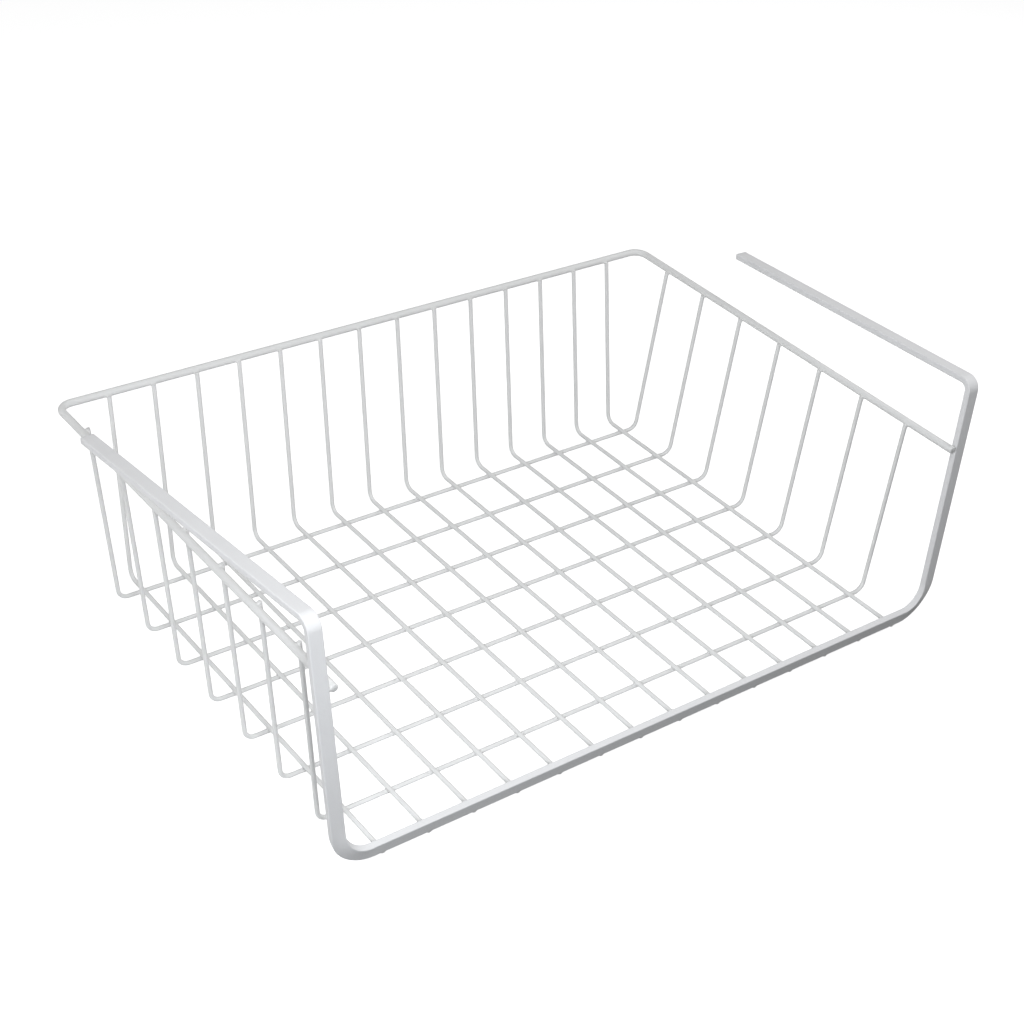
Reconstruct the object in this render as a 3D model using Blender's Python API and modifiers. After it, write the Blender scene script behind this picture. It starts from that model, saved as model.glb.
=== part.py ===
"""Under shelf basket of welded wire, which hangs from a shelf by two arms.

One flat bar is bent into the front frame: a bottom bar, two uprights and two
arms that lie on the shelf. A round rim wire runs round the left, back and
right sides, and two layers of thin wire make the floor and the walls.

Metres. +X runs along the front to the right, +Y to the back, +Z up. The
origin is at the middle of the basket's footprint, on the ground it stands on.
"""
import math

import bmesh
import bpy
from mathutils import Matrix, Vector

# The thin wires
WIRE_RADIUS = 0.0012
WIRE_BEND_RADIUS = 0.006
WIRE_TOP_RISE = -0.0003
LEFT_TOP_RISE = 0.0027
LONG_WIRE_SETBACK = 0.0010
LONG_WIRE_COUNT = 14
CROSS_WIRE_COUNT = 7

# The floor, out to the feet of the leaning walls
FLOOR_HALF_WIDTH = 0.1750
FLOOR_DEPTH = 0.2473
SIDE_MARGIN = 0.0125
FRONT_MARGIN = 0.0348
BACK_MARGIN = 0.0115
BACK_LEAN = 0.0190

# The rim wire
RIM_RADIUS = 0.00205
RIM_BEND_RADIUS = 0.0075
RIM_FRONT_HEIGHT = 0.1050
RIM_RISE = 0.0022
RIM_SPLAY = 0.0020
RIM_SEAT_DEPTH = 0.0010

# The flat bar of the front frame
BAR_WIDTH = 0.0071
BAR_THICKNESS = 0.0035
BAR_EDGE_RADIUS = 0.0005
BAR_SEAT_DEPTH = 0.0012
FRAME_FOOT_OUTSET = 0.00965
FRAME_LEAN_OUT = 0.0126
FRAME_LEAN_BACK = 0.0059
FOOT_BEND_RADIUS = 0.0185
ARM_BEND_RADIUS = 0.0055
SHELF_SPACE = 0.0371
ARM_REACH = 0.1893
ARM_DROP = 0.0113
ARM_SPLAY = 0.0088

# How far the bar's face was turned down and outwards as its feet were bent
BOTTOM_TILT = math.radians(14)
BEND_TILT = math.radians(10)
UPRIGHT_TILT = math.radians(6)

# The gap left at every weld, how far a cut runs past what it cuts, and where mirrored points join
WELD_GAP = 0.0003
CUT_OVERRUN = 0.002
JOIN_DISTANCE = 0.00001

# The powder coat
FRAME_WHITE = (0.82, 0.82, 0.83)
WIRE_WHITE = (0.80, 0.80, 0.81)
FRAME_ROUGHNESS = 0.38
RIM_ROUGHNESS = 0.40
WIRE_ROUGHNESS = 0.42

# How finely the bends and the sections are divided
WIRE_BEND_STEPS = 6
RIM_BEND_STEPS = 8
BAR_BEND_STEPS = 8
BAR_EDGE_STEPS = 2
WIRE_SECTION_STEPS = 2
RIM_SECTION_STEPS = 4
SEAT_SIDES = 16
SMOOTH_ANGLE = math.radians(40)

# Heights of the layers, from the ground up; the bottom bar is pressed over the long wires
CROSS_WIRE_Z = WIRE_RADIUS
LONG_WIRE_Z = CROSS_WIRE_Z + 2 * WIRE_RADIUS + WELD_GAP
BAR_Z = LONG_WIRE_Z + WIRE_RADIUS - BAR_SEAT_DEPTH + BAR_WIDTH / 2
ARM_Z = RIM_FRONT_HEIGHT + SHELF_SPACE
BAR_LEAN = math.atan2(FRAME_LEAN_BACK, ARM_Z - BAR_Z)
STEEPEST_TILT = (BOTTOM_TILT + UPRIGHT_TILT) / 2 + BEND_TILT - BAR_LEAN
FLAT_HALF_WIDTH = BAR_WIDTH / 2 - BAR_EDGE_RADIUS
FLAT_HALF_THICKNESS = BAR_THICKNESS / 2 - BAR_EDGE_RADIUS

# Places from front to back, with the footprint's middle at zero
FRONT_REACH = BAR_EDGE_RADIUS + (FLAT_HALF_WIDTH * math.sin(STEEPEST_TILT)
                                 + FLAT_HALF_THICKNESS * math.cos(STEEPEST_TILT))
DEPTH = FRONT_REACH + FLOOR_DEPTH + BACK_LEAN + RIM_RADIUS
BAR_Y = FRONT_REACH - DEPTH / 2
BACK_FOOT_Y = BAR_Y + FLOOR_DEPTH
RIM_BACK_Y = BACK_FOOT_Y + BACK_LEAN

# The frame's corners on the right side, on the bar's centre line
FRAME_FOOT = Vector((FLOOR_HALF_WIDTH + FRAME_FOOT_OUTSET, BAR_Y, BAR_Z))
FRAME_TOP = Vector((FRAME_FOOT.x + FRAME_LEAN_OUT, BAR_Y + FRAME_LEAN_BACK, ARM_Z))
ARM_TIP = FRAME_TOP + Vector((ARM_SPLAY, ARM_REACH, -ARM_DROP))

# The rim meets each upright's inner face and ends level with its front face
RIM_SHARE = (RIM_FRONT_HEIGHT - BAR_Z) / (ARM_Z - BAR_Z)
UPRIGHT_AT_RIM = FRAME_FOOT.lerp(FRAME_TOP, RIM_SHARE)
RIM_INSET = BAR_WIDTH / 2 + WELD_GAP + RIM_RADIUS
RIM_FRONT = UPRIGHT_AT_RIM - Vector((RIM_INSET, BAR_THICKNESS / 2, 0))
RIM_BACK = Vector((RIM_FRONT.x + RIM_SPLAY, RIM_BACK_Y, RIM_FRONT_HEIGHT + RIM_RISE))
OTHER_SIDE = Matrix.Scale(-1, 3, Vector((1, 0, 0)))
WALL_INSET = RIM_RADIUS + WELD_GAP + WIRE_RADIUS - RIM_SEAT_DEPTH


def clear_scene():
    for thing in list(bpy.data.objects):
        bpy.data.objects.remove(thing, do_unlink=True)


def new_collection(name):
    collection = bpy.data.collections.new(name)
    bpy.context.scene.collection.children.link(collection)
    return collection


def coat(name, colour, roughness):
    """A white powder coat over steel."""
    material = bpy.data.materials.new(name)
    material.use_nodes = True
    shader = material.node_tree.nodes["Principled BSDF"]
    shader.inputs["Base Color"].default_value = (*colour, 1)
    shader.inputs["Roughness"].default_value = roughness
    shader.inputs["Metallic"].default_value = 0
    return material


def bend(corner, before, after, radius, steps):
    """Points of the arc that rounds one corner of a path."""
    way_in = (corner - before).normalized()
    way_out = (after - corner).normalized()
    turn = way_in.angle(way_out)
    inward = (way_out - way_in * way_in.dot(way_out)).normalized()
    start = corner - way_in * radius * math.tan(turn / 2)
    centre = start + inward * radius
    points = []
    for step in range(steps + 1):
        angle = turn * step / steps
        points.append(centre + (way_in * math.sin(angle) - inward * math.cos(angle)) * radius)
    return points


def rounded_path(corners, radius, steps):
    """The corners' path with an arc in place of each inner corner."""
    points = [corners[0]]
    for before, corner, after in zip(corners, corners[1:], corners[2:]):
        points.extend(bend(corner, before, after, radius, steps))
    points.append(corners[-1])
    return points


def wire_curve(name, points, radius, section_steps, material):
    """A round wire with flat ends along a list of points."""
    curve = bpy.data.curves.new(name, "CURVE")
    curve.dimensions = "3D"
    curve.bevel_depth = radius
    curve.bevel_resolution = section_steps
    curve.use_fill_caps = True
    spline = curve.splines.new("POLY")
    spline.points.add(len(points) - 1)
    for spline_point, point in zip(spline.points, points):
        spline_point.co = (*point, 1)
    curve.materials.append(material)
    return curve


def place(name, data, location, collection, parent):
    thing = bpy.data.objects.new(name, data)
    thing.location = location
    thing.parent = parent
    collection.objects.link(thing)
    return thing


def add_rod(bm, start, end, radius):
    """A closed round rod between two points."""
    way = end - start
    turn = way.to_track_quat("Z", "X").to_matrix().to_4x4()
    middle = Matrix.Translation((start + end) / 2)
    bmesh.ops.create_cone(bm, cap_ends=True, segments=SEAT_SIDES, radius1=radius, radius2=radius,
                          depth=way.length, matrix=middle @ turn)


def cut_seats(thing, rods, cutters):
    """Cut a round groove, a weld gap wider than the wire, where each wire is pressed in."""
    bm = bmesh.new()
    for start, end in rods:
        add_rod(bm, start, end, WIRE_RADIUS + WELD_GAP)
    name = f"{thing.name}_seats"
    mesh = bpy.data.meshes.new(name)
    bm.to_mesh(mesh)
    bm.free()
    cutter = place(name, mesh, (0, 0, 0), cutters, None)
    cutter.hide_render = True
    cutter.display_type = "WIRE"
    seats = thing.modifiers.new("wire_seats", "BOOLEAN")
    seats.operation = "DIFFERENCE"
    seats.object = cutter


def wall_top(foot, weld, rise):
    """The top of a wall wire, so far above the middle of the rim it is pressed into."""
    reach = (weld.z + rise - foot.z) / (weld.z - foot.z)
    return foot.lerp(weld, reach)


def long_wire_places():
    last_x = FLOOR_HALF_WIDTH - SIDE_MARGIN
    return [last_x * (2 * index / (LONG_WIRE_COUNT - 1) - 1) for index in range(LONG_WIRE_COUNT)]


def long_wire_wall():
    """Foot and top of a long wire where it climbs the back wall, at the middle of the basket."""
    foot = Vector((0, BACK_FOOT_Y, LONG_WIRE_Z))
    return foot, wall_top(foot, Vector((0, RIM_BACK.y - WALL_INSET, RIM_BACK.z)), WIRE_TOP_RISE)


def cross_wire_places():
    first_y = BACK_FOOT_Y - BACK_MARGIN
    last_y = BAR_Y + FRONT_MARGIN
    pitch = (last_y - first_y) / (CROSS_WIRE_COUNT - 1)
    return [first_y + pitch * index for index in range(CROSS_WIRE_COUNT)]


def cross_wire_wall(y, rise):
    """Foot and top of a cross wire where it climbs the right wall, in the wire's own plane."""
    rim = RIM_BACK.lerp(RIM_FRONT, (RIM_BACK.y - y) / (RIM_BACK.y - RIM_FRONT.y))
    foot = Vector((FLOOR_HALF_WIDTH, 0, CROSS_WIRE_Z))
    return foot, wall_top(foot, Vector((rim.x - WALL_INSET, 0, rim.z)), rise)


def cross_wire_corners(y):
    """A cross wire's corners in its own plane; on the left wall it ends above the rim."""
    foot, top = cross_wire_wall(y, WIRE_TOP_RISE)
    left_top = OTHER_SIDE @ cross_wire_wall(y, LEFT_TOP_RISE)[1]
    return [left_top, OTHER_SIDE @ foot, foot, top]


def rim_seat(foot, top, place_of_wire):
    """Start and end of the groove for one wall wire, from below the rim to a gap past the wire's end."""
    way = (top - foot).normalized()
    below = 2 * RIM_RADIUS + CUT_OVERRUN
    return place_of_wire + top - way * below, place_of_wire + top + way * WELD_GAP


def bar_section():
    """Outline of the flat bar: (along its width, along its thickness), edges rounded."""
    outline = []
    for quarter, (side, face) in enumerate(((1, 1), (-1, 1), (-1, -1), (1, -1))):
        for step in range(BAR_EDGE_STEPS + 1):
            angle = math.pi / 2 * (quarter + step / BAR_EDGE_STEPS)
            across = side * FLAT_HALF_WIDTH + BAR_EDGE_RADIUS * math.cos(angle)
            through = face * FLAT_HALF_THICKNESS + BAR_EDGE_RADIUS * math.sin(angle)
            outline.append((across, through))
    return outline


def foot_tilt(share):
    """How far the bar's face is turned down, at a share of the way round the foot bend."""
    return BOTTOM_TILT + (UPRIGHT_TILT - BOTTOM_TILT) * share + BEND_TILT * math.sin(math.pi * share)


def tilted(width, way, tilt):
    """The width's direction square to the run, turned about it with the inner edge forwards."""
    return Matrix.Rotation(tilt, 3, way) @ (width - width.project(way)).normalized()


def bar_stations():
    """Along the frame's right half: the bar's centre, the way it runs and the way its width lies."""
    corners = [Vector((0, FRAME_FOOT.y, FRAME_FOOT.z)), FRAME_FOOT, FRAME_TOP, ARM_TIP]
    ways = [(end - start).normalized() for start, end in zip(corners, corners[1:])]
    frame_front = ways[0].cross(ways[1]).normalized()
    level = Vector((0, 0, 1)).cross(ways[2]).normalized()
    widths = [frame_front.cross(ways[0]), frame_front.cross(ways[1]), level]
    stations = [(corners[0], ways[0], tilted(widths[0], ways[0], BOTTOM_TILT))]
    for index, radius in enumerate((FOOT_BEND_RADIUS, ARM_BEND_RADIUS)):
        before, corner, after = corners[index:index + 3]
        for step, point in enumerate(bend(corner, before, after, radius, BAR_BEND_STEPS)):
            share = step / BAR_BEND_STEPS
            way = ways[index].slerp(ways[index + 1], share)
            width = widths[index].lerp(widths[index + 1], share)
            tilt = foot_tilt(share) if index == 0 else 0
            stations.append((point, way, tilted(width, way, tilt)))
    stations.append((corners[3], ways[2], widths[2]))
    return stations


def front_frame_half():
    """The right half of the front frame, open at the middle of its bottom bar."""
    bm = bmesh.new()
    rings = []
    for centre, way, width_way in bar_stations():
        face_way = way.cross(width_way)
        ring = [bm.verts.new(centre + width_way * across + face_way * through)
                for across, through in bar_section()]
        rings.append(ring)
    for here, there in zip(rings, rings[1:]):
        for quad in zip(here, there, there[1:] + there[:1], here[1:] + here[:1]):
            bm.faces.new(quad)
    bm.faces.new(rings[-1])
    bmesh.ops.recalc_face_normals(bm, faces=bm.faces)
    mesh = bpy.data.meshes.new("front_frame")
    bm.to_mesh(mesh)
    bm.free()
    return mesh


def add_front_frame(collection, cutters, parent):
    mesh = front_frame_half()
    mesh.materials.append(coat("frame_coat", FRAME_WHITE, FRAME_ROUGHNESS))
    mesh.shade_smooth()
    mesh.set_sharp_from_angle(angle=SMOOTH_ANGLE)
    frame = place("front_frame", mesh, (0, 0, 0), collection, parent)
    mirror = frame.modifiers.new("other_half", "MIRROR")
    mirror.use_axis[0] = True
    mirror.merge_threshold = JOIN_DISTANCE
    half_length = Vector((0, BAR_THICKNESS / 2 + CUT_OVERRUN, 0))
    rods = []
    for x in long_wire_places():
        middle = Vector((x, BAR_Y, LONG_WIRE_Z))
        rods.append((middle - half_length, middle + half_length))
    cut_seats(frame, rods, cutters)


def solid_mesh(curve, collection):
    """A curve's tube as a mesh, with its caps joined to it."""
    tube = place(f"{curve.name}_tube", curve, (0, 0, 0), collection, None)
    evaluated = tube.evaluated_get(bpy.context.evaluated_depsgraph_get())
    mesh = bpy.data.meshes.new_from_object(evaluated)
    bpy.data.objects.remove(tube, do_unlink=True)
    bm = bmesh.new()
    bm.from_mesh(mesh)
    bmesh.ops.remove_doubles(bm, verts=bm.verts, dist=JOIN_DISTANCE)
    bm.to_mesh(mesh)
    bm.free()
    mesh.shade_smooth()
    mesh.set_sharp_from_angle(angle=SMOOTH_ANGLE)
    return mesh


def rim_seats():
    """The grooves of all the wall wires: along the back, then down both sides."""
    rods = []
    foot, top = long_wire_wall()
    for x in long_wire_places():
        rods.append(rim_seat(foot, top, Vector((x, 0, 0))))
    for y in cross_wire_places():
        left_top, left_foot, foot, top = cross_wire_corners(y)
        rods.append(rim_seat(left_foot, left_top, Vector((0, y, 0))))
        rods.append(rim_seat(foot, top, Vector((0, y, 0))))
    return rods


def add_rim_wire(collection, cutters, parent):
    """The rim: in from the left upright, across the back and out to the right upright."""
    corners = [OTHER_SIDE @ RIM_FRONT, OTHER_SIDE @ RIM_BACK, RIM_BACK, RIM_FRONT]
    points = rounded_path(corners, RIM_BEND_RADIUS, RIM_BEND_STEPS)
    material = coat("rim_coat", FRAME_WHITE, RIM_ROUGHNESS)
    curve = wire_curve("rim_wire", points, RIM_RADIUS, RIM_SECTION_STEPS, material)
    rim = place("rim_wire", solid_mesh(curve, collection), (0, 0, 0), collection, parent)
    cut_seats(rim, rim_seats(), cutters)


def add_cross_wires(collection, parent):
    """The lower layer: down the left wall, across under the floor, up the right wall."""
    material = coat("cross_wire_coat", WIRE_WHITE, WIRE_ROUGHNESS)
    for number, y in enumerate(cross_wire_places(), 1):
        points = rounded_path(cross_wire_corners(y), WIRE_BEND_RADIUS, WIRE_BEND_STEPS)
        name = f"cross_wire_{number}"
        curve = wire_curve(name, points, WIRE_RADIUS, WIRE_SECTION_STEPS, material)
        place(name, curve, (0, y, 0), collection, parent)


def add_long_wires(collection, parent):
    """The upper layer: from under the front bar back along the floor and up the back wall."""
    material = coat("long_wire_coat", WIRE_WHITE, WIRE_ROUGHNESS)
    front_end = Vector((0, BAR_Y - BAR_THICKNESS / 2 + LONG_WIRE_SETBACK, LONG_WIRE_Z))
    foot, top = long_wire_wall()
    points = rounded_path([front_end, foot, top], WIRE_BEND_RADIUS, WIRE_BEND_STEPS)
    curve = wire_curve("long_wire", points, WIRE_RADIUS, WIRE_SECTION_STEPS, material)
    for number, x in enumerate(long_wire_places(), 1):
        place(f"long_wire_{number:02d}", curve, (x, 0, 0), collection, parent)


def main():
    clear_scene()
    collection = new_collection("under_shelf_basket")
    basket = place("basket", None, (0, 0, 0), collection, None)
    cutters = new_collection("cutters")
    add_front_frame(collection, cutters, basket)
    add_rim_wire(collection, cutters, basket)
    add_cross_wires(collection, basket)
    add_long_wires(collection, basket)


main()
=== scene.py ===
"""The looks of the under shelf basket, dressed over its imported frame.

Every bar and wire is made again as one smooth mesh that flares into its
neighbours where they are welded, under one even coat of white powder paint.
Metres, in the frame's own axes: +X right along the front, +Y back, +Z up.
"""
import math

import bpy
import numpy as np
from mathutils import Matrix, Vector


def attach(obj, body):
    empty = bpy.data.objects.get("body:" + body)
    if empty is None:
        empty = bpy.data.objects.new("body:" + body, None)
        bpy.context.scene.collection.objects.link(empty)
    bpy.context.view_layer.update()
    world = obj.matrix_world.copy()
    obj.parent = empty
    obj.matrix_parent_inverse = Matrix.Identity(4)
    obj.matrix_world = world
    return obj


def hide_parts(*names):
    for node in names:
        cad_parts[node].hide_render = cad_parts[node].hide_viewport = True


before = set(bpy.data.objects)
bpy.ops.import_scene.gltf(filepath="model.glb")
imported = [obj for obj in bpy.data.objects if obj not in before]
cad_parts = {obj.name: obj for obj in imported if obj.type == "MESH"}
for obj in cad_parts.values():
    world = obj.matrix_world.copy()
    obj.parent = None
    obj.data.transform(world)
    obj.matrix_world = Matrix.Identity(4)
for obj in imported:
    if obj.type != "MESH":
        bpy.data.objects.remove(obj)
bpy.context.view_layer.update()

# The thin wires, as in the frame
WIRE_RADIUS = 0.0012
WIRE_BEND_RADIUS = 0.006
WIRE_TOP_RISE = -0.0003
LEFT_TOP_RISE = 0.0027
LONG_WIRE_SETBACK = 0.0010
LONG_WIRE_COUNT = 14
CROSS_WIRE_COUNT = 7

# The floor, out to the feet of the leaning walls
FLOOR_HALF_WIDTH = 0.1750
FLOOR_DEPTH = 0.2473
SIDE_MARGIN = 0.0125
FRONT_MARGIN = 0.0348
BACK_MARGIN = 0.0115
BACK_LEAN = 0.0190

# The rim wire
RIM_RADIUS = 0.00205
RIM_BEND_RADIUS = 0.0075
RIM_FRONT_HEIGHT = 0.1050
RIM_RISE = 0.0022
RIM_SPLAY = 0.0020
RIM_SEAT_DEPTH = 0.0010

# The flat bar of the front frame
BAR_WIDTH = 0.0071
BAR_THICKNESS = 0.0035
BAR_EDGE_RADIUS = 0.0005
BAR_SEAT_DEPTH = 0.0012
FRAME_FOOT_OUTSET = 0.00965
FRAME_LEAN_OUT = 0.0126
FRAME_LEAN_BACK = 0.0059
FOOT_BEND_RADIUS = 0.0185
ARM_BEND_RADIUS = 0.0055
SHELF_SPACE = 0.0371
ARM_REACH = 0.1893
ARM_DROP = 0.0113
ARM_SPLAY = 0.0088
WELD_GAP = 0.0003

# How far the bar's face was turned down and outwards as its feet were bent
BOTTOM_TILT = math.radians(14)
BEND_TILT = math.radians(10)
UPRIGHT_TILT = math.radians(6)

# Heights of the layers and places from front to back, worked out as in the frame
CROSS_WIRE_Z = WIRE_RADIUS
LONG_WIRE_Z = CROSS_WIRE_Z + 2 * WIRE_RADIUS + WELD_GAP
BAR_Z = LONG_WIRE_Z + WIRE_RADIUS - BAR_SEAT_DEPTH + BAR_WIDTH / 2
ARM_Z = RIM_FRONT_HEIGHT + SHELF_SPACE
BAR_LEAN = math.atan2(FRAME_LEAN_BACK, ARM_Z - BAR_Z)
STEEPEST_TILT = (BOTTOM_TILT + UPRIGHT_TILT) / 2 + BEND_TILT - BAR_LEAN
FLAT_HALF_WIDTH = BAR_WIDTH / 2 - BAR_EDGE_RADIUS
FLAT_HALF_THICKNESS = BAR_THICKNESS / 2 - BAR_EDGE_RADIUS
FRONT_REACH = BAR_EDGE_RADIUS + (FLAT_HALF_WIDTH * math.sin(STEEPEST_TILT)
                                 + FLAT_HALF_THICKNESS * math.cos(STEEPEST_TILT))
DEPTH = FRONT_REACH + FLOOR_DEPTH + BACK_LEAN + RIM_RADIUS
BAR_Y = FRONT_REACH - DEPTH / 2
BACK_FOOT_Y = BAR_Y + FLOOR_DEPTH
RIM_BACK_Y = BACK_FOOT_Y + BACK_LEAN
FRAME_FOOT = Vector((FLOOR_HALF_WIDTH + FRAME_FOOT_OUTSET, BAR_Y, BAR_Z))
FRAME_TOP = Vector((FRAME_FOOT.x + FRAME_LEAN_OUT, BAR_Y + FRAME_LEAN_BACK, ARM_Z))
ARM_TIP = FRAME_TOP + Vector((ARM_SPLAY, ARM_REACH, -ARM_DROP))
RIM_SHARE = (RIM_FRONT_HEIGHT - BAR_Z) / (ARM_Z - BAR_Z)
UPRIGHT_AT_RIM = FRAME_FOOT.lerp(FRAME_TOP, RIM_SHARE)
RIM_INSET = BAR_WIDTH / 2 + WELD_GAP + RIM_RADIUS
RIM_FRONT = UPRIGHT_AT_RIM - Vector((RIM_INSET, BAR_THICKNESS / 2, 0))
RIM_BACK = Vector((RIM_FRONT.x + RIM_SPLAY, RIM_BACK_Y, RIM_FRONT_HEIGHT + RIM_RISE))
OTHER_SIDE = Matrix.Scale(-1, 3, Vector((1, 0, 0)))
WALL_INSET = RIM_RADIUS + WELD_GAP + WIRE_RADIUS - RIM_SEAT_DEPTH

# How finely the surfaces are divided
WIRE_SIDES = 20
RIM_SIDES = 28
CORNER_STEPS = 5
FLAT_STEP = 0.0005
BEND_TURN = math.radians(4)
PLAIN_STEP = 0.006
WELD_STEP = 0.0004
WELD_ZONE = 0.0034
LEAST_STEP = 0.00012

# The welds: how wide they flare, and the soft edge of every cut end
WIRE_FLARE = 0.0012
BAR_FLARE = 0.0005
FLARE_ROUNDS = 12
SEAM_REACH = 0.0024
WIRE_END_ROUND = 0.00045
RIM_END_ROUND = 0.0007
ARM_END_ROUND = 0.0005
END_STEPS = 4
END_REACH = 0.004

# The powder coat: its colours and how matt it is on each kind of piece
FRAME_WHITE = (0.797, 0.799, 0.809)
WIRE_WHITE = (0.786, 0.790, 0.787)
FRAME_ROUGHNESS = 0.74
RIM_ROUGHNESS = 0.58
WIRE_ROUGHNESS = 0.60
SMOOTHER_BY = 0.05
ROUGHER_BY = 0.06

# Its faint mottle of shade, its orange peel and its grain
COAT_SHADE_SHARE = 0.965
MOTTLE_SCALE = 45
MOTTLE_DETAIL = 3
SHADE_SPAN = (0.35, 0.65)
ROUGHNESS_SPAN = (0.3, 0.7)
PEEL_SCALE = 800
PEEL_DETAIL = 1
PEEL_DEPTH = 0.00007
GRAIN_SCALE = 3200
GRAIN_DETAIL = 2
GRAIN_DEPTH = 0.000008

# The greyer coat at each weld, partly a thinner coat and partly painted shade in the crevice between the
# parts, and the bare steel at the cut ends, both patchy
PATCH_SCALE = 540
PATCH_DETAIL = 2
SEAM_GREY_AND_SHADE = (0.60, 0.59, 0.57)
SEAM_SPAN = (0.55, 1)
SEAM_SHARE = 0.5
SEAM_PATCH_SPAN = (0.35, 0.7)
LEAST_PATCH_SHARE = 0.25
STEEL_GREY = (0.42, 0.42, 0.43)
END_SPAN = (0.75, 1)
END_SHARE = 0.45
END_PATCH_SPAN = (0.45, 0.62)

# A mix node's sockets for two colours and for their mix
COLOUR_INPUTS = (6, 7)
COLOUR_OUTPUT = 2

# The camera, fitted to the photo's wire crossings
CAMERA_PLACE = (-0.53130, -0.67602, 0.61965)
CAMERA_TURN = (59.1548, -4.3155, -37.0956)
CAMERA_LENS = 68.635
CAMERA_SHIFT = (-0.0469, -0.0801)

# The floor: its paint, its white as background, and its bounce under and ahead of the basket; ahead of
# it the floor is nearly black to bounced light, a dark sheet that stands in for shade on the front faces
# of the bar and the wires
FLOOR_SIZE = 12
FLOOR_WHITE = 0.62
FLOOR_SHOWN = 0.80
FLOOR_BOUNCE_UNDER = (0.75, 0.75, 0.75)
FLOOR_SHADE_SHEET_AHEAD = (0.03, 0.03, 0.03)
FLOOR_FADE = (-0.140, -0.115)

# The light: the world's share, and each lamp's name, place, size, power and colour
WORLD_LIGHT = 0.10
WORLD_SHOWN = 1
WORLD_WHITE = (1, 1, 1, 1)
LAMP_AIM = (0, 0, 0.07)
LAMP_WHITE = (1, 1, 1)
LAMP_COOL = (0.97, 1.0, 1.03)
LAMPS = (
    ("lamp_above", (-0.25, -0.58, 1.15), 0.5, 5.4, LAMP_WHITE),
    ("lamp_left", (-0.9, 0, 0.2), 0.4, 1.6, LAMP_WHITE),
    ("lamp_left_front", (-0.36, -0.46, 0.36), 0.2, 1.6, LAMP_COOL),
    ("lamp_right", (0.9, -0.2, 0.8), 0.6, 4.2, LAMP_WHITE),
    ("lamp_back", (-0.6, 0.7, 0.7), 0.5, 1.2, LAMP_WHITE),
)


def vec(thing):
    """A point or direction as an array."""
    return np.array(thing, dtype=float)


def long_wire_places():
    """The long wires' places from left to right."""
    last_x = FLOOR_HALF_WIDTH - SIDE_MARGIN
    return [last_x * (2 * index / (LONG_WIRE_COUNT - 1) - 1) for index in range(LONG_WIRE_COUNT)]


def cross_wire_places():
    """The cross wires' places from back to front."""
    first_y = BACK_FOOT_Y - BACK_MARGIN
    last_y = BAR_Y + FRONT_MARGIN
    pitch = (last_y - first_y) / (CROSS_WIRE_COUNT - 1)
    return [first_y + pitch * index for index in range(CROSS_WIRE_COUNT)]


def wall_top(foot, weld, rise):
    """Where a wire ends, some rise above the weld at the rim, on its line up from the foot."""
    reach = (weld.z + rise - foot.z) / (weld.z - foot.z)
    return foot.lerp(weld, reach)


def long_wire_wall(x):
    """Foot and top of a long wire where it climbs the back wall."""
    foot = Vector((x, BACK_FOOT_Y, LONG_WIRE_Z))
    return foot, wall_top(foot, Vector((x, RIM_BACK.y - WALL_INSET, RIM_BACK.z)), WIRE_TOP_RISE)


def cross_wire_wall(y, rise):
    """Foot and top of a cross wire where it climbs the right wall."""
    rim = RIM_BACK.lerp(RIM_FRONT, (RIM_BACK.y - y) / (RIM_BACK.y - RIM_FRONT.y))
    foot = Vector((FLOOR_HALF_WIDTH, y, CROSS_WIRE_Z))
    return foot, wall_top(foot, Vector((rim.x - WALL_INSET, y, rim.z)), rise)


def long_wire_corners(x):
    """A long wire's corners, from under the bottom bar to the back rim."""
    foot, top = long_wire_wall(x)
    front = Vector((x, BAR_Y - BAR_THICKNESS / 2 + LONG_WIRE_SETBACK, LONG_WIRE_Z))
    return [front, foot, top]


def cross_wire_corners(y):
    """A cross wire's corners; on the left wall it ends above the rim."""
    foot, top = cross_wire_wall(y, WIRE_TOP_RISE)
    left_top = OTHER_SIDE @ cross_wire_wall(y, LEFT_TOP_RISE)[1]
    return [left_top, OTHER_SIDE @ foot, foot, top]


def rim_corners():
    """The rim's corners, from its left end round the back to its right end."""
    return [OTHER_SIDE @ RIM_FRONT, OTHER_SIDE @ RIM_BACK, RIM_BACK, RIM_FRONT]


def bend(corner, before, after, radius):
    """Points and directions along the arc that rounds one corner."""
    way_in = (corner - before).normalized()
    way_out = (after - corner).normalized()
    turn = way_in.angle(way_out)
    inward = (way_out - way_in * way_in.dot(way_out)).normalized()
    centre = corner - way_in * radius * math.tan(turn / 2) + inward * radius
    steps = math.ceil(turn / BEND_TURN)
    points = []
    ways = []
    for step in range(steps + 1):
        angle = turn * step / steps
        points.append(centre + (way_in * math.sin(angle) - inward * math.cos(angle)) * radius)
        ways.append(way_in * math.cos(angle) + inward * math.sin(angle))
    return points, ways


def route(corners, radius):
    """A rounded path as arrays: length run so far, points and directions."""
    points = [corners[0]]
    ways = [(corners[1] - corners[0]).normalized()]
    for before, corner, after in zip(corners, corners[1:], corners[2:]):
        arc, arc_ways = bend(corner, before, after, radius)
        points.extend(arc)
        ways.extend(arc_ways)
    points.append(corners[-1])
    ways.append(ways[-1])
    points = np.array(points)
    run = np.concatenate([[0], np.cumsum(np.linalg.norm(np.diff(points, axis=0), axis=1))])
    return run, points, np.array(ways)


def at(path, places):
    """Points and directions of a route at some lengths along it."""
    run, points, ways = path
    point = np.stack([np.interp(places, run, points[:, axis]) for axis in range(3)], axis=1)
    way = np.stack([np.interp(places, run, ways[:, axis]) for axis in range(3)], axis=1)
    return point, way / np.linalg.norm(way, axis=1, keepdims=True)


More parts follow.
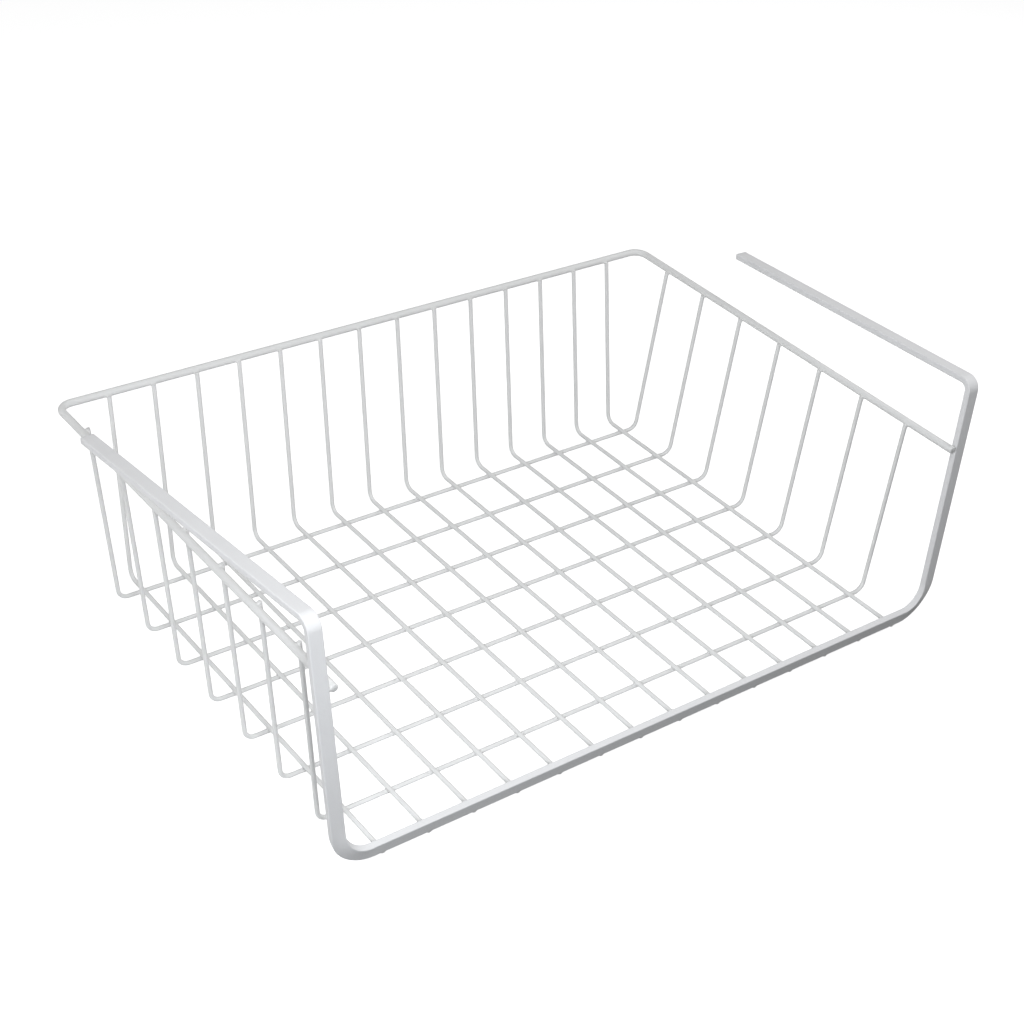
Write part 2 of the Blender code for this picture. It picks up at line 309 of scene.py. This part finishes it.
def nearest(path, target):
    """The length along a route at which it passes nearest to a point."""
    run, points, _ = path
    start, step = points[:-1], np.diff(points, axis=0)
    share = np.clip(np.sum((target - start) * step, axis=1) / np.sum(step * step, axis=1), 0, 1)
    gaps = np.linalg.norm(start + step * share[:, None] - target, axis=1)
    index = int(np.argmin(gaps))
    return run[index] + share[index] * (run[index + 1] - run[index])


def places_along(path, welds):
    """Where to put rings: coarse on plain runs, fine round bends and at each weld."""
    run = path[0]
    spots = [run]
    for start, end in zip(run, run[1:]):
        if end - start > PLAIN_STEP:
            spots.append(np.linspace(start, end, math.ceil((end - start) / PLAIN_STEP) + 1))
    zone = np.arange(-WELD_ZONE, WELD_ZONE + WELD_STEP / 2, WELD_STEP)
    for weld in welds:
        spots.append(nearest(path, vec(weld)) + zone)
    spots = np.sort(np.concatenate(spots))
    spots = spots[(spots >= 0) & (spots <= run[-1])]
    kept = [spots[0]]
    for spot in spots[1:-1]:
        if spot - kept[-1] >= LEAST_STEP and run[-1] - spot >= LEAST_STEP:
            kept.append(spot)
    kept.append(run[-1])
    return np.array(kept)


def soft_ends(places, length, rounding):
    """Rings with how far each is drawn in from the full section, so both cut ends are rounded."""
    angles = [math.pi / 2 * step / END_STEPS for step in reversed(range(END_STEPS + 1))]
    first = [(rounding * (1 - math.sin(angle)), rounding * (1 - math.cos(angle))) for angle in angles]
    lowest = rounding + LEAST_STEP
    highest = length - rounding - LEAST_STEP
    middle = [(place, 0) for place in places if lowest < place < highest]
    last = [(length - place, inset) for place, inset in reversed(first)]
    rings = np.array(first + middle + last)
    return rings[:, 0], rings[:, 1]


def rod(start, end, radius):
    """Distance to a round rod with flat ends."""
    start, end = vec(start), vec(end)
    length = np.linalg.norm(end - start)
    way = (end - start) / length

    def distance(points):
        along = (points - start) @ way
        beyond = np.abs(along - length / 2) - length / 2
        aside = np.linalg.norm(points - start - along[:, None] * way, axis=1) - radius
        outside = np.hypot(np.maximum(aside, 0), np.maximum(beyond, 0))
        return np.minimum(np.maximum(aside, beyond), 0) + outside

    return distance


def flat_bar(centre, width_way, face_way):
    """Distance to the flat bar along a straight run."""
    centre = vec(centre)
    width_way, face_way = vec(width_way), vec(face_way)

    def distance(points):
        across = np.abs((points - centre) @ width_way) - FLAT_HALF_WIDTH
        through = np.abs((points - centre) @ face_way) - FLAT_HALF_THICKNESS
        outside = np.hypot(np.maximum(across, 0), np.maximum(through, 0))
        return np.minimum(np.maximum(across, through), 0) + outside - BAR_EDGE_RADIUS

    return distance


def flare(points, ways, neighbours, width):
    """Grow a surface outwards where it meets its neighbours, as a weld under paint does."""
    grown = np.zeros(len(points))
    gap = np.full(len(points), np.inf)
    for distance in neighbours:
        gap = np.minimum(gap, distance(points))
    near = gap < SEAM_REACH + width
    for _ in range(FLARE_ROUNDS):
        here = points[near] + ways[near] * grown[near, None]
        other = np.full(len(here), np.inf)
        for distance in neighbours:
            other = np.minimum(other, distance(here))
        own = grown[near]
        share = np.maximum(width - np.abs(own - other), 0) / width
        joined = np.minimum(own, other) - share * share * width / 4
        grown[near] = np.clip(own - joined, 0, width / 2)
    # Nearness to a neighbour: it greys the coat at the weld and paints shade in the crevice between the
    # parts
    seam_and_shade = np.clip(1 - np.maximum(gap, 0) / SEAM_REACH, 0, 1)
    return points + ways * grown[:, None], seam_and_shade


def sheath(name, rings, seam_and_shade, cut_end):
    """One mesh from rings of points, closed by a fan at each end."""
    count, sides, _ = rings.shape
    verts = np.vstack([rings.reshape(-1, 3), rings[0].mean(axis=0), rings[-1].mean(axis=0)])
    faces = []
    for ring in range(count - 1):
        here = ring * sides
        there = here + sides
        for side in range(sides):
            following = (side + 1) % sides
            faces.append((here + side, here + following, there + following, there + side))
    first_centre = count * sides
    last_centre = first_centre + 1
    last_ring = first_centre - sides
    for side in range(sides):
        following = (side + 1) % sides
        faces.append((first_centre, following, side))
        faces.append((last_centre, last_ring + side, last_ring + following))
    mesh = bpy.data.meshes.new(name)
    mesh.from_pydata(verts.tolist(), [], faces)
    mesh.validate()
    mesh.shade_smooth()
    # The nearness to welds, for the greyer coat and painted crevice shade, and the nearness to cut ends
    for label, values in (("seam_and_shade", seam_and_shade), ("cut_end", cut_end)):
        layer = mesh.attributes.new(label, "FLOAT", "POINT")
        filled = np.concatenate([values, [values[0], values[-1]]])
        layer.data.foreach_set("value", filled.astype(np.float32))
    return mesh


def end_wear(places, length, sides):
    """How near each ring is to a cut end, one value for each point."""
    nearness = np.clip(1 - np.minimum(places, length - places) / END_REACH, 0, 1)
    return np.repeat(nearness, sides)


def round_wire(name, corners, bend_radius, radius, sides, end_round, across, welds, neighbours, width):
    """A round wire along rounded corners; across is a direction square to its bends."""
    path = route(corners, bend_radius)
    length = path[0][-1]
    places, insets = soft_ends(places_along(path, welds), length, end_round)
    centres, ways = at(path, places)
    side_way = vec(across) - ways * (ways @ vec(across))[:, None]
    side_way /= np.linalg.norm(side_way, axis=1, keepdims=True)
    up_way = np.cross(ways, side_way)
    angles = np.arange(sides) * 2 * math.pi / sides
    out = side_way[:, None] * np.cos(angles)[None, :, None]
    out = out + up_way[:, None] * np.sin(angles)[None, :, None]
    points = centres[:, None] + out * (radius - insets)[:, None, None]
    flared, seam_and_shade = flare(points.reshape(-1, 3), out.reshape(-1, 3), neighbours, width)
    return sheath(name, flared.reshape(points.shape), seam_and_shade, end_wear(places, length, sides))


def bar_outline():
    """Points round the flat bar's section and the way out at each: (across, through) pairs."""
    corners = ((1, 1), (-1, 1), (-1, -1), (1, -1))
    outline = []
    for quarter, (side, face) in enumerate(corners):
        for step in range(CORNER_STEPS + 1):
            angle = math.pi / 2 * (quarter + step / CORNER_STEPS)
            way = (math.cos(angle), math.sin(angle))
            point = (side * FLAT_HALF_WIDTH + BAR_EDGE_RADIUS * way[0],
                     face * FLAT_HALF_THICKNESS + BAR_EDGE_RADIUS * way[1])
            outline.append((point, way))
        next_side, next_face = corners[(quarter + 1) % len(corners)]
        angle = math.pi / 2 * (quarter + 1)
        way = (math.cos(angle), math.sin(angle))
        start = vec(outline[-1][0])
        flat_corner = vec((next_side * FLAT_HALF_WIDTH, next_face * FLAT_HALF_THICKNESS))
        end = flat_corner + BAR_EDGE_RADIUS * vec(way)
        steps = math.ceil(np.linalg.norm(end - start) / FLAT_STEP)
        for step in range(1, steps):
            outline.append((tuple(start + (end - start) * step / steps), way))
    points, ways = zip(*outline)
    return np.array(points), np.array(ways)


def frame_corners():
    """The right half of the frame's centre line, with the directions of its runs and widths."""
    corners = [Vector((0, FRAME_FOOT.y, FRAME_FOOT.z)), FRAME_FOOT, FRAME_TOP, ARM_TIP]
    ways = [(end - start).normalized() for start, end in zip(corners, corners[1:])]
    frame_front = ways[0].cross(ways[1]).normalized()
    level = Vector((0, 0, 1)).cross(ways[2]).normalized()
    widths = [frame_front.cross(ways[0]), frame_front.cross(ways[1]), level]
    return corners, ways, widths


def foot_tilt(share):
    """How far the bar's face is turned down, at a share of the way round the foot bend."""
    return BOTTOM_TILT + (UPRIGHT_TILT - BOTTOM_TILT) * share + BEND_TILT * math.sin(math.pi * share)


def tilted(width, way, tilt):
    """The width's direction square to the run, turned about it with the inner edge forwards."""
    return Matrix.Rotation(tilt, 3, way) @ (width - width.project(way)).normalized()


def bar_stations():
    """Centre, direction and width direction along the right half of the frame."""
    corners, ways, widths = frame_corners()
    stations = [(corners[0], ways[0], tilted(widths[0], ways[0], BOTTOM_TILT))]
    for index, radius in enumerate((FOOT_BEND_RADIUS, ARM_BEND_RADIUS)):
        before, corner, after = corners[index:index + 3]
        arc, arc_ways = bend(corner, before, after, radius)
        for step, (point, way) in enumerate(zip(arc, arc_ways)):
            share = step / (len(arc) - 1)
            width = widths[index].lerp(widths[index + 1], share)
            tilt = foot_tilt(share) if index == 0 else 0
            stations.append((point, way, tilted(width, way, tilt)))
    stations.append((corners[3], ways[2], widths[2]))
    return stations


def mirrored(station):
    """The same station on the left half, with its direction kept running left to right."""
    centre, way, width = station
    return OTHER_SIDE @ centre, -(OTHER_SIDE @ way), OTHER_SIDE @ width


def front_frame_mesh(welds, neighbours):
    """The whole flat bar, from the tip of the left arm to the tip of the right one."""
    right = bar_stations()
    stations = [mirrored(station) for station in reversed(right[1:])] + right
    points = np.array([station[0] for station in stations])
    run = np.concatenate([[0], np.cumsum(np.linalg.norm(np.diff(points, axis=0), axis=1))])
    ways = np.array([station[1] for station in stations])
    widths = np.array([station[2] for station in stations])
    path = (run, points, ways)
    places, insets = soft_ends(places_along(path, welds), run[-1], ARM_END_ROUND)
    centres, ways = at(path, places)
    width_way = at((run, points, widths), places)[1]
    width_way -= ways * np.sum(ways * width_way, axis=1, keepdims=True)
    width_way /= np.linalg.norm(width_way, axis=1, keepdims=True)
    face_way = np.cross(ways, width_way)
    outline, outline_ways = bar_outline()
    sides = len(outline)
    out = width_way[:, None] * outline_ways[None, :, :1] + face_way[:, None] * outline_ways[None, :, 1:]
    section = width_way[:, None] * outline[None, :, :1] + face_way[:, None] * outline[None, :, 1:]
    rings = centres[:, None] + section - out * insets[:, None, None]
    flared, seam_and_shade = flare(rings.reshape(-1, 3), out.reshape(-1, 3), neighbours, BAR_FLARE)
    cut_end = end_wear(places, run[-1], sides)
    return sheath("front_frame_coated", flared.reshape(rings.shape), seam_and_shade, cut_end)


def place(name, mesh, node, material):
    """Put a finished piece in the scene, in the place of its frame node."""
    piece = bpy.data.objects.new(name, mesh)
    bpy.context.scene.collection.objects.link(piece)
    mesh.materials.append(material)
    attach(piece, "root")
    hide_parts(node)


def front_bar_runs():
    """Distance functions of the bottom bar and of both uprights."""
    corners, ways, widths = frame_corners()
    bottom_width = tilted(widths[0], ways[0], BOTTOM_TILT)
    runs = [flat_bar(corners[1], bottom_width, ways[0].cross(bottom_width))]
    runs.append(flat_bar(corners[1], widths[1], ways[1].cross(widths[1])))
    other = OTHER_SIDE @ widths[1]
    runs.append(flat_bar(OTHER_SIDE @ corners[1], other, other.cross(OTHER_SIDE @ ways[1])))
    return runs


def add_front_frame(material):
    """The flat bar, with a weld at every long wire and at both ends of the rim."""
    rim = rim_corners()
    welds = []
    neighbours = []
    for x in long_wire_places():
        corners = long_wire_corners(x)
        welds.append(Vector((x, BAR_Y, BAR_Z)))
        neighbours.append(rod(corners[0], corners[1], WIRE_RADIUS))
    for end, corner in ((rim[3], rim[2]), (rim[0], rim[1])):
        welds.append(end)
        neighbours.append(rod(end, corner, RIM_RADIUS))
    place("front_frame_coated", front_frame_mesh(welds, neighbours), "front_frame", material)


def add_rim(material):
    """The thick rim wire, with a weld at the top of every thin wire and at both uprights."""
    welds = []
    neighbours = front_bar_runs()[1:]
    for x in long_wire_places():
        foot, top = long_wire_wall(x)
        welds.append(top)
        neighbours.append(rod(foot, top, WIRE_RADIUS))
    for y in cross_wire_places():
        left_top, left_foot, foot, top = cross_wire_corners(y)
        for low, high in ((foot, top), (left_foot, left_top)):
            welds.append(high)
            neighbours.append(rod(low, high, WIRE_RADIUS))
    corners = rim_corners()
    welds.extend([corners[0], corners[-1]])
    mesh = round_wire("rim_wire_coated", corners, RIM_BEND_RADIUS, RIM_RADIUS, RIM_SIDES, RIM_END_ROUND,
                      (0, 0, 1), welds, neighbours, WIRE_FLARE)
    place("rim_wire_coated", mesh, "rim_wire", material)


def add_cross_wires(material):
    """The thin wires from left to right, welded under the long wires and to the rim."""
    rim = rim_corners()
    for number, y in enumerate(cross_wire_places(), 1):
        corners = cross_wire_corners(y)
        welds = [corners[0], corners[-1]]
        neighbours = [rod(rim[0], rim[1], RIM_RADIUS), rod(rim[2], rim[3], RIM_RADIUS)]
        for x in long_wire_places():
            run = long_wire_corners(x)
            welds.append(Vector((x, y, CROSS_WIRE_Z)))
            neighbours.append(rod(run[0], run[1], WIRE_RADIUS))
        name = f"cross_wire_{number}_coated"
        mesh = round_wire(name, corners, WIRE_BEND_RADIUS, WIRE_RADIUS, WIRE_SIDES, WIRE_END_ROUND,
                          (0, 1, 0), welds, neighbours, WIRE_FLARE)
        place(name, mesh, f"cross_wire_{number}", material)


def add_long_wires(material):
    """The thin wires from front to back, welded to the bottom bar, the cross wires and the rim."""
    rim = rim_corners()
    for number, x in enumerate(long_wire_places(), 1):
        corners = long_wire_corners(x)
        welds = [corners[0], corners[-1]]
        neighbours = [rod(rim[1], rim[2], RIM_RADIUS), front_bar_runs()[0]]
        for y in cross_wire_places():
            run = cross_wire_corners(y)
            welds.append(Vector((x, y, LONG_WIRE_Z)))
            neighbours.append(rod(run[1], run[2], WIRE_RADIUS))
        name = f"long_wire_{number:02d}_coated"
        mesh = round_wire(name, corners, WIRE_BEND_RADIUS, WIRE_RADIUS, WIRE_SIDES, WIRE_END_ROUND,
                          (1, 0, 0), welds, neighbours, WIRE_FLARE)
        place(name, mesh, f"long_wire_{number:02d}", material)


def link(tree, source, target):
    """Join two sockets."""
    tree.links.new(source, target)


def noise(tree, coordinates, scale, detail):
    """A soft noise from 0 to 1."""
    node = tree.nodes.new("ShaderNodeTexNoise")
    node.inputs["Scale"].default_value = scale
    node.inputs["Detail"].default_value = detail
    link(tree, coordinates, node.inputs["Vector"])
    return node.outputs["Fac"]


def spread(tree, value, low, high, low_to, high_to):
    """A value from one range to another, held inside it."""
    node = tree.nodes.new("ShaderNodeMapRange")
    settings = {"From Min": low, "From Max": high, "To Min": low_to, "To Max": high_to}
    for socket, number in settings.items():
        node.inputs[socket].default_value = number
    link(tree, value, node.inputs["Value"])
    return node.outputs["Result"]


def blend(tree, share, low, high):
    """A mix of two colours; each is a colour or a socket."""
    node = tree.nodes.new("ShaderNodeMix")
    node.data_type = "RGBA"
    link(tree, share, node.inputs["Factor"])
    for index, colour in zip(COLOUR_INPUTS, (low, high)):
        if isinstance(colour, tuple):
            node.inputs[index].default_value = (*colour, 1)
        else:
            link(tree, colour, node.inputs[index])
    return node.outputs[COLOUR_OUTPUT]


def times(tree, first, second):
    """Two values multiplied."""
    node = tree.nodes.new("ShaderNodeMath")
    node.operation = "MULTIPLY"
    link(tree, first, node.inputs[0])
    link(tree, second, node.inputs[1])
    return node.outputs[0]


def attribute(tree, name):
    """A value that the mesh carries at its points."""
    node = tree.nodes.new("ShaderNodeAttribute")
    node.attribute_name = name
    return node.outputs["Fac"]


def bump(tree, height, depth, before):
    """A bump on top of an earlier one, if there is one."""
    node = tree.nodes.new("ShaderNodeBump")
    node.inputs["Distance"].default_value = depth
    link(tree, height, node.inputs["Height"])
    if before:
        link(tree, before, node.inputs["Normal"])
    return node.outputs["Normal"]


def powder_coat(name, white, roughness):
    """Satin white powder coat over steel: faint mottle, orange peel, a greyer coat with painted crevice
    shade at the welds, and duller ends.
    """
    material = bpy.data.materials.new(name)
    material.use_nodes = True
    tree = material.node_tree
    shader = tree.nodes["Principled BSDF"]
    where = tree.nodes.new("ShaderNodeTexCoord").outputs["Object"]
    mottle = noise(tree, where, MOTTLE_SCALE, MOTTLE_DETAIL)
    shade = tuple(channel * COAT_SHADE_SHARE for channel in white)
    colour = blend(tree, spread(tree, mottle, *SHADE_SPAN, 0, 1), shade, white)
    patches = noise(tree, where, PATCH_SCALE, PATCH_DETAIL)
    patchy = spread(tree, patches, *SEAM_PATCH_SPAN, LEAST_PATCH_SHARE, 1)
    # Painted shade: the coat goes greyer near each neighbouring part, partly a thinner coat at the weld
    # and partly crevice shade
    seam_and_shade = times(tree, spread(tree, attribute(tree, "seam_and_shade"), *SEAM_SPAN, 0, SEAM_SHARE), patchy)
    colour = blend(tree, seam_and_shade, colour, SEAM_GREY_AND_SHADE)
    worn = spread(tree, patches, *END_PATCH_SPAN, 0, 1)
    ends = times(tree, spread(tree, attribute(tree, "cut_end"), *END_SPAN, 0, END_SHARE), worn)
    colour = blend(tree, ends, colour, STEEL_GREY)
    link(tree, colour, shader.inputs["Base Color"])
    matt = spread(tree, mottle, *ROUGHNESS_SPAN, roughness - SMOOTHER_BY, roughness + ROUGHER_BY)
    link(tree, matt, shader.inputs["Roughness"])
    peel = bump(tree, noise(tree, where, PEEL_SCALE, PEEL_DETAIL), PEEL_DEPTH, None)
    grain = bump(tree, noise(tree, where, GRAIN_SCALE, GRAIN_DETAIL), GRAIN_DEPTH, peel)
    link(tree, grain, shader.inputs["Normal"])
    return material


def seen_directly(tree):
    """1 for camera, glossy and transmission rays, which see the white background, and 0 for the rest."""
    path = tree.nodes.new("ShaderNodeLightPath")
    total = path.outputs["Is Camera Ray"]
    for name in ("Is Glossy Ray", "Is Transmission Ray"):
        node = tree.nodes.new("ShaderNodeMath")
        node.operation = "MAXIMUM"
        link(tree, total, node.inputs[0])
        link(tree, path.outputs[name], node.inputs[1])
        total = node.outputs[0]
    return total


def make_world():
    """White where it is seen, and a faint even light elsewhere."""
    world = bpy.data.worlds.new("studio")
    bpy.context.scene.world = world
    world.use_nodes = True
    tree = world.node_tree
    tree.nodes.clear()
    output = tree.nodes.new("ShaderNodeOutputWorld")
    mix = tree.nodes.new("ShaderNodeMixShader")
    link(tree, seen_directly(tree), mix.inputs[0])
    for socket, strength in ((1, WORLD_LIGHT), (2, WORLD_SHOWN)):
        background = tree.nodes.new("ShaderNodeBackground")
        background.inputs["Color"].default_value = WORLD_WHITE
        background.inputs["Strength"].default_value = strength
        link(tree, background.outputs[0], mix.inputs[socket])
    link(tree, mix.outputs[0], output.inputs["Surface"])


def floor_material():
    """White with the basket's shadow where it is seen; where it only bounces light it is pale under the
    basket and nearly black ahead of it, a dark sheet that stands in for shade on the basket's front
    faces.
    """
    material = bpy.data.materials.new("studio_floor")
    material.use_nodes = True
    tree = material.node_tree
    tree.nodes.clear()
    output = tree.nodes.new("ShaderNodeOutputMaterial")
    mix = tree.nodes.new("ShaderNodeMixShader")
    link(tree, seen_directly(tree), mix.inputs[0])
    bounce = tree.nodes.new("ShaderNodeBsdfDiffuse")
    sides = tree.nodes.new("ShaderNodeSeparateXYZ")
    link(tree, tree.nodes.new("ShaderNodeTexCoord").outputs["Object"], sides.inputs[0])
    # Dark sheet ahead of the basket, seen only by bounced light: it darkens the front faces as painted
    # shade
    paleness = spread(tree, sides.outputs["Y"], *FLOOR_FADE, 0, 1)
    link(tree, blend(tree, paleness, FLOOR_SHADE_SHEET_AHEAD, FLOOR_BOUNCE_UNDER), bounce.inputs["Color"])
    link(tree, bounce.outputs[0], mix.inputs[1])
    shown = tree.nodes.new("ShaderNodeAddShader")
    paint = tree.nodes.new("ShaderNodeBsdfDiffuse")
    paint.inputs["Color"].default_value = (FLOOR_WHITE, FLOOR_WHITE, FLOOR_WHITE, 1)
    glow = tree.nodes.new("ShaderNodeEmission")
    glow.inputs["Strength"].default_value = FLOOR_SHOWN
    link(tree, paint.outputs[0], shown.inputs[0])
    link(tree, glow.outputs[0], shown.inputs[1])
    link(tree, shown.outputs[0], mix.inputs[2])
    link(tree, mix.outputs[0], output.inputs["Surface"])
    return material


def make_floor():
    """A plain square floor under the basket."""
    half = FLOOR_SIZE / 2
    corners = [(-half, -half, 0), (half, -half, 0), (half, half, 0), (-half, half, 0)]
    mesh = bpy.data.meshes.new("studio_floor")
    mesh.from_pydata(corners, [], [(0, 1, 2, 3)])
    floor = bpy.data.objects.new("studio_floor", mesh)
    bpy.context.scene.collection.objects.link(floor)
    mesh.materials.append(floor_material())


def make_lamp(name, place_at, size, power, colour):
    """A square soft lamp aimed at the middle of the basket."""
    lamp = bpy.data.lights.new(name, "AREA")
    lamp.shape = "SQUARE"
    lamp.size = size
    lamp.energy = power
    lamp.color = colour
    thing = bpy.data.objects.new(name, lamp)
    thing.location = place_at
    thing.rotation_mode = "QUATERNION"
    thing.rotation_quaternion = (Vector(LAMP_AIM) - Vector(place_at)).to_track_quat("-Z", "Y")
    bpy.context.scene.collection.objects.link(thing)


def make_camera():
    """The camera, at the photo's place and angle."""
    data = bpy.data.cameras.new("camera")
    data.lens = CAMERA_LENS
    data.shift_x, data.shift_y = CAMERA_SHIFT
    camera = bpy.data.objects.new("camera", data)
    camera.location = CAMERA_PLACE
    camera.rotation_euler = [math.radians(angle) for angle in CAMERA_TURN]
    bpy.context.scene.collection.objects.link(camera)
    bpy.context.scene.camera = camera


def main():
    """The whole scene, one kind of piece after another."""
    bpy.context.scene.view_settings.view_transform = "Standard"
    make_camera()
    make_world()
    make_floor()
    for lamp in LAMPS:
        make_lamp(*lamp)
    add_front_frame(powder_coat("frame_coat_paint", FRAME_WHITE, FRAME_ROUGHNESS))
    add_rim(powder_coat("rim_coat_paint", WIRE_WHITE, RIM_ROUGHNESS))
    add_cross_wires(powder_coat("cross_wire_coat_paint", WIRE_WHITE, WIRE_ROUGHNESS))
    add_long_wires(powder_coat("long_wire_coat_paint", WIRE_WHITE, WIRE_ROUGHNESS))


main()
